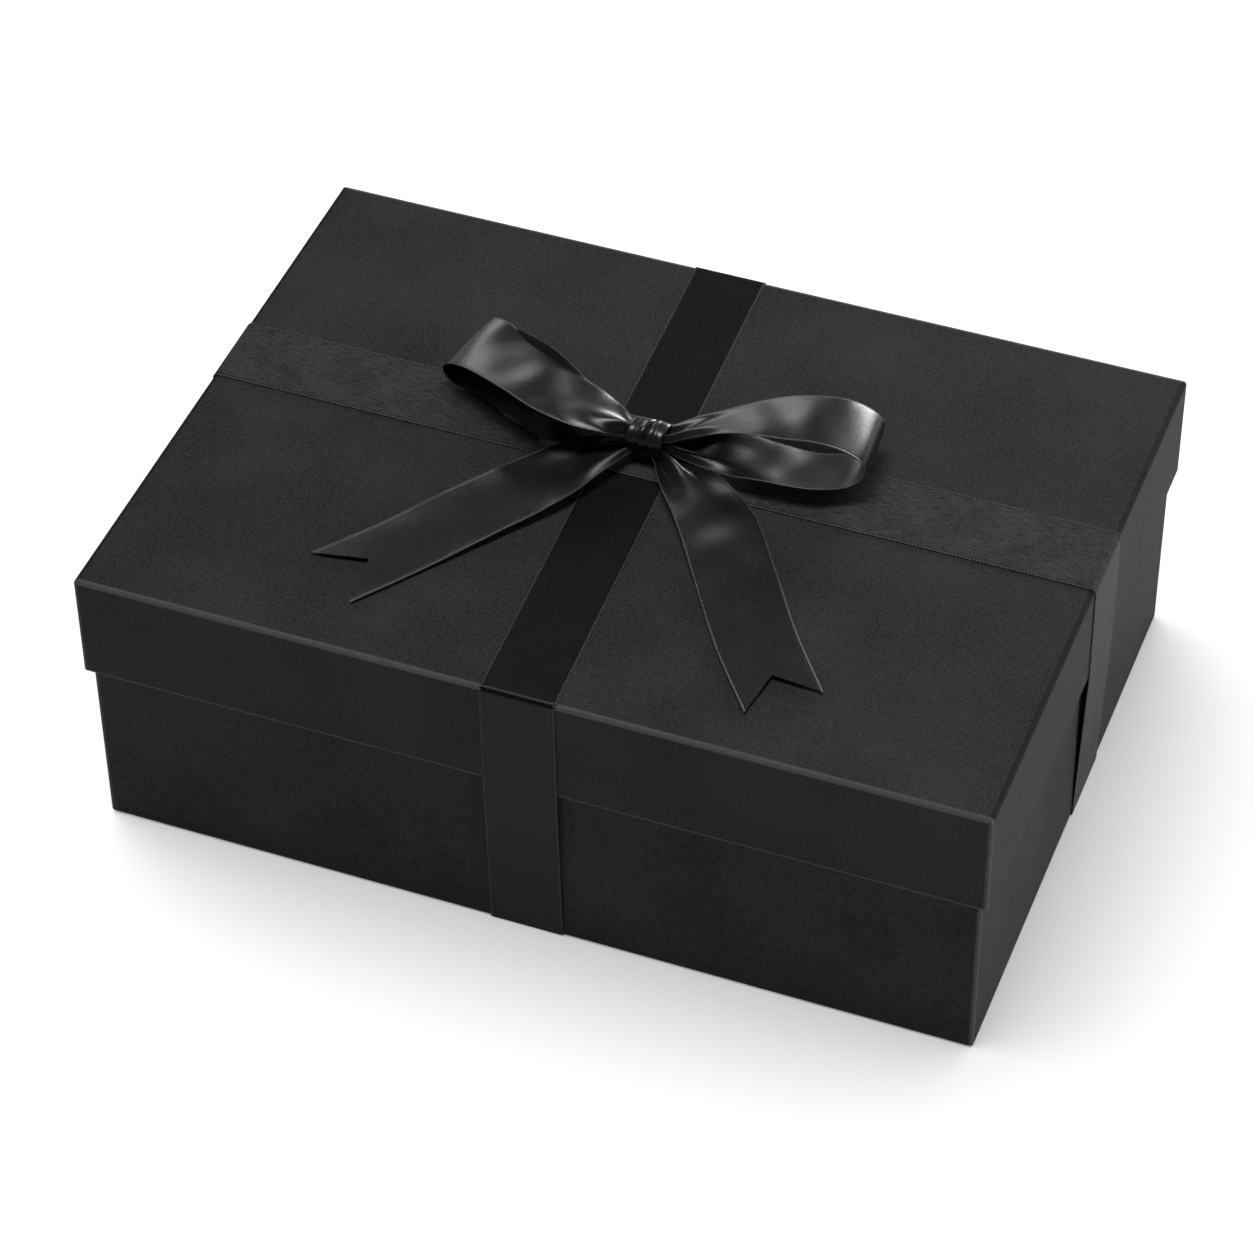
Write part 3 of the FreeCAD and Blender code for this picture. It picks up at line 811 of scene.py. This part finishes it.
class GIFT_OT_knot(bpy.types.Operator):
    """Bind the bow: gathered ribbon, the folded turn round it and the pad below"""
    bl_idname = "gift.knot"
    bl_label = "Knot"

    def wrap(self, bow, ribbon):
        """Ribbon folded double and turned once round the gather, creased where it is drawn tight."""
        centre = (knot_low + knot_high) / 2
        room = 0.35 * MM                   # for the creases that stand up
        half_x = (knot_high.x - knot_low.x) / 2
        half_y = (knot_high.y - knot_low.y) / 2 - room
        half_z = (knot_high.z - knot_low.z) / 2 - room
        fold = 0.42 * MM                   # radius of the two folded sides
        lost = 0.4 * MM                    # width that goes into the folds
        flat = spread(bow.width - lost, ribbon.selvedge, 75)
        kept = half_x - fold
        past = np.abs(flat) - kept
        bent = np.clip(past / fold, 0, math.pi)
        x = np.sign(flat) * np.where(past < 0, np.abs(flat), kept + fold * np.sin(bent)
                                     - np.maximum(past - math.pi * fold, 0))
        sunk = np.where(past < 0, 0.0, -fold * (1 - np.cos(bent)))
        turn = np.radians(np.linspace(-90, 270, 181))
        degrees = np.degrees(turn)[:, None]
        y, z, out = knot_section(turn, half_y, half_z)
        u = x[None, :] / MM
        drawn = 0.0
        for at, lean, rise, wide, where, reach in CREASES:
            middle = at + lean * (degrees - where) / 60
            shape = np.exp(-((u - middle) / wide) ** 2 - ((degrees - where) / reach) ** 2)
            drawn = drawn + rise * MM * shape
        waist = -0.55 * MM * (u / 6.5) ** 4 + sunk[None, :]
        surface = np.zeros((len(turn), len(flat), 3))
        surface[..., 0] = centre.x + x[None, :] + 0.25 * MM * np.sin(turn * 2)[:, None]
        surface[..., 1] = centre.y + y[:, None]
        surface[..., 2] = centre.z + z[:, None]
        surface += out[:, None, :] * (drawn + waist)[..., None]
        along = np.broadcast_to(lengths(np.stack([y, z], axis=1))[:, None], surface.shape[:2])
        across = np.broadcast_to(flat[None, :], surface.shape[:2])
        material = bow_satin("glossy_bow_satin", bow.width, ribbon)
        return woven("bow_knot_ribbon", surface, across, along, ribbon, material), float(along[-1, 0])

    def gather(self, bow, ribbon):
        """Both passes of the bow's ribbon, folded to and fro inside the knot."""
        low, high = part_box("bow_gather")
        runs = bow.gather_runs
        gap, slack = 0.8 * MM, 0.9 * MM    # air above and below the layers, and at their turns
        hidden = 2.4 * MM                  # how far its ends stay inside the knot
        no_selvedge = 6 * MM               # takes the stitched edge off the cloth
        lift = (high.z - low.z - 2 * gap) / runs
        turn = lift / 2
        reach = (high.y - low.y) / 2 - turn - slack
        line = []
        for run in range(runs):
            z = low.z + gap + turn + run * lift
            way = 1 if run % 2 == 0 else -1
            line += [(-way * reach * (1 - 2 * part), z) for part in np.linspace(0, 1, 9)]
            if run < runs - 1:
                for angle in np.linspace(-90, 90, 9)[1:-1]:
                    line.append((way * (reach + turn * math.cos(math.radians(angle))),
                                 z + turn + turn * math.sin(math.radians(angle))))
        line = np.array(line)
        across = lengths(line)
        x = np.linspace(low.x + hidden, high.x - hidden, 31)
        middle = (low + high) / 2
        pinch = 1.0 - 0.10 * ((x - middle.x) / (high.x - middle.x))[:, None] ** 2
        surface = np.zeros((len(x), len(line), 3))
        surface[..., 0] = x[:, None]
        surface[..., 1] = middle.y + line[None, :, 0] * pinch
        surface[..., 2] = middle.z + (line[None, :, 1] - middle.z) * pinch
        flat = across - across[-1] / 2
        grid_across, grid_along = np.meshgrid(flat, x - low.x)
        material = bow_satin("gathered_satin", float(across[-1]) + no_selvedge, ribbon)
        piece = woven("bow_gather_ribbon", surface, grid_across, grid_along, ribbon, material)
        return piece, float(across[-1]), float(x[-1] - x[0])

    def pad(self, paper):
        """Foam pad that sticks the bow to the crossing."""
        middle = (pad_low + pad_high) / 2
        half = (pad_high - pad_low) / 2
        profile = ((1.2, -1), (0.25, -1), (0.06, -0.85), (0.0, -0.4), (0.0, 0.4), (0.06, 0.85),
                   (0.25, 1), (1.2, 1))    # inset in millimetres, and height in half thicknesses
        points, rings = [], []
        for inset, z in profile:
            ring, _ = rounded_ring(half.x - inset * MM, half.y - inset * MM, (1.6 - inset) * MM,
                                   middle.z + z * half.z, runs=3)
            rings.append(range(len(points), len(points) + len(ring)))
            points += [(px + middle.x, py + middle.y, pz) for px, py, pz in ring]
        material = plain_paper("sticky_foam", shaded(paper.lining, 0.6), 0.9, 3200, 0.05 * MM)
        return add_piece("bow_foam_pad", points, ringed(rings), material)

    def execute(self, context):
        scene = context.scene
        bow, ribbon = scene.gift_bow, scene.gift_ribbon
        knot, turn = self.wrap(bow, ribbon)
        gather, wide, deep = self.gather(bow, ribbon)
        pad = self.pad(scene.gift_paper)
        for piece, node, slot in ((knot, "bow_knot", "bow_satin"), (gather, "bow_gather", "bow_satin"),
                                  (pad, "bow_pad", "pad")):
            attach(piece, "ribbon")
            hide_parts(node)
        return {"FINISHED"}


# ---- stage ----

class GIFT_OT_stage(bpy.types.Operator):
    """Set the floor, the lights and the camera"""
    bl_idname = "gift.stage"
    bl_label = "Stage"

    def floor(self, stage):
        """Plain floor, a hair under the ribbons that the box stands on."""
        sunk = 0.03 * MM
        work = bmesh.new()
        bmesh.ops.create_circle(work, cap_ends=True, radius=6.0, segments=96)
        mesh = bpy.data.meshes.new("studio_floor")
        work.to_mesh(mesh)
        work.free()
        finish = Finish("studio_floor")
        clouds = finish.noise(finish.place(), 3.0, 2.0, 0.5)
        tone = finish.mixed(clouds, shaded(stage.floor, 0.995), stage.floor)
        mesh.materials.append(finish.done({"Base Color": tone, "Roughness": 0.9,
                                           "Specular IOR Level": 0.1}))
        piece = bpy.data.objects.new("studio_floor", mesh)
        piece.location.z = -sunk
        bpy.context.scene.collection.objects.link(piece)
        piece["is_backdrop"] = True
        return piece

    def lamp(self, name, kind, strength, heading, height, away, shines_on, **shape):
        """Lamp that looks at the box from a heading and a height in degrees."""
        data = bpy.data.lights.new(name, kind)
        data.energy = strength
        for key, value in shape.items():
            setattr(data, key, value)
        lamp = bpy.data.objects.new(name, data)
        bpy.context.scene.collection.objects.link(lamp)
        a, e = math.radians(heading), math.radians(height)
        back = Vector((math.sin(a) * math.cos(e), -math.cos(a) * math.cos(e), math.sin(e)))
        lamp.location = back * away + Vector((0, 0, 0.06))
        lamp.rotation_mode = "QUATERNION"
        lamp.rotation_quaternion = (-back).to_track_quat("-Z", "Y")
        lamp.light_linking.receiver_collection = shines_on

    def sun(self, name, strength, heading, height, shines_on, width):
        """Broad even light that fills width degrees of the sky."""
        self.lamp(name, "SUN", strength, heading, height, 3.0, shines_on, angle=math.radians(width))

    def panel(self, name, power, heading, height, away, shines_on, width, tall):
        """Rectangular softbox."""
        self.lamp(name, "AREA", power, heading, height, away, shines_on, shape="RECTANGLE",
                  size=width, size_y=tall)

    def surroundings(self, strength):
        """White to look at, and dim enough as a light to keep the satin deep."""
        world = bpy.data.worlds.new("surroundings")
        world.use_nodes = True
        tree = world.node_tree
        tree.nodes.clear()
        path = tree.nodes.new("ShaderNodeLightPath")
        both = tree.nodes.new("ShaderNodeMixShader")
        out = tree.nodes.new("ShaderNodeOutputWorld")
        for place, level in ((1, strength), (2, 1.0)):
            white = tree.nodes.new("ShaderNodeBackground")
            white.inputs["Color"].default_value = (1, 1, 1, 1)
            white.inputs["Strength"].default_value = level
            tree.links.new(white.outputs["Background"], both.inputs[place])
        tree.links.new(path.outputs["Is Camera Ray"], both.inputs["Fac"])
        tree.links.new(both.outputs["Shader"], out.inputs["Surface"])
        return world

    def camera(self):
        """Camera to the right of the front and well above it, a long lens away."""
        heading, height, roll = math.radians(21.157), math.radians(43.679), math.radians(-0.623)
        away = 1.4725
        looks_at = Vector((-0.22 * MM, -15.51 * MM, lid_high.z / 2))
        data = bpy.data.cameras.new("camera")
        data.lens, data.sensor_width = 125.9, 36.0
        camera = bpy.data.objects.new("camera", data)
        bpy.context.scene.collection.objects.link(camera)
        back = Vector((math.sin(heading) * math.cos(height), -math.cos(heading) * math.cos(height),
                       math.sin(height)))
        camera.location = looks_at + back * away
        camera.rotation_mode = "QUATERNION"
        level = (-back).to_track_quat("-Z", "Y")
        camera.rotation_quaternion = level @ Quaternion((0, 0, 1), roll)
        bpy.context.scene.camera = camera

    def execute(self, context):
        scene = context.scene
        stage = scene.gift_stage
        box = bpy.data.collections.new("box_lighting")
        wrapping = bpy.data.collections.new("wrapping_lighting")
        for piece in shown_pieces():
            box.objects.link(piece)
            if not piece.name.startswith("bow_"):
                wrapping.objects.link(piece)
        ground = bpy.data.collections.new("floor_lighting")
        ground.objects.link(self.floor(stage))
        scene.world = self.surroundings(stage.surroundings)
        self.sun("floor_wash", stage.floor_wash, 0, 88, ground, 150)
        self.sun("floor_side", stage.floor_side, 240, 60, ground, 70)
        self.sun("overhead", stage.overhead, 272, 77, wrapping, 24)
        self.panel("softbox", stage.softbox, 195, 82, 1.5, box, 0.7, 0.35)
        self.panel("backdrop", stage.backdrop, 169, 12, 1.7, box, 0.75, 0.42)
        self.panel("left_softbox", stage.left_box, 214, 20, 1.7, box, 0.5, 0.4)
        self.panel("side_softbox", stage.side_box, 98, 6, 1.6, wrapping, 0.9, 0.5)
        self.camera()
        scene.view_settings.view_transform = "Standard"
        return {"FINISHED"}


class GIFT_PT_panel(bpy.types.Panel):
    """Steps of dressing the box, in the order they are run"""
    bl_idname = "GIFT_PT_panel"
    bl_label = "Gift Box"
    bl_space_type = "VIEW_3D"
    bl_region_type = "UI"
    bl_category = "Gift Box"

    def draw(self, context):
        for group in ("gift_paper", "gift_ribbon", "gift_bow", "gift_stage"):
            values = getattr(context.scene, group)
            box = self.layout.box()
            for key in values.__annotations__:
                box.prop(values, key)
        for step in STEPS:
            self.layout.operator(step.bl_idname)


STEPS = (GIFT_OT_covers, GIFT_OT_boards, GIFT_OT_bands, GIFT_OT_under_bands, GIFT_OT_knot,
         GIFT_OT_loops, GIFT_OT_tails, GIFT_OT_stage)
GROUPS = {"gift_paper": GiftBoxPaper, "gift_ribbon": GiftBoxRibbon, "gift_bow": GiftBoxBow,
          "gift_stage": GiftBoxStage}


def register():
    for name, group in GROUPS.items():
        bpy.utils.register_class(group)
        setattr(bpy.types.Scene, name, bpy.props.PointerProperty(type=group))
    for part in (*STEPS, GIFT_PT_panel):
        bpy.utils.register_class(part)


def unregister():
    for part in (GIFT_PT_panel, *reversed(STEPS)):
        bpy.utils.unregister_class(part)
    for name, group in GROUPS.items():
        delattr(bpy.types.Scene, name)
        bpy.utils.unregister_class(group)


def main():
    register()
    bpy.ops.gift.covers()
    bpy.ops.gift.boards()
    bpy.ops.gift.bands()
    bpy.ops.gift.under_bands()
    bpy.ops.gift.knot()
    bpy.ops.gift.loops()
    bpy.ops.gift.tails()
    bpy.ops.gift.stage()


if __name__ == "__main__":
    main()
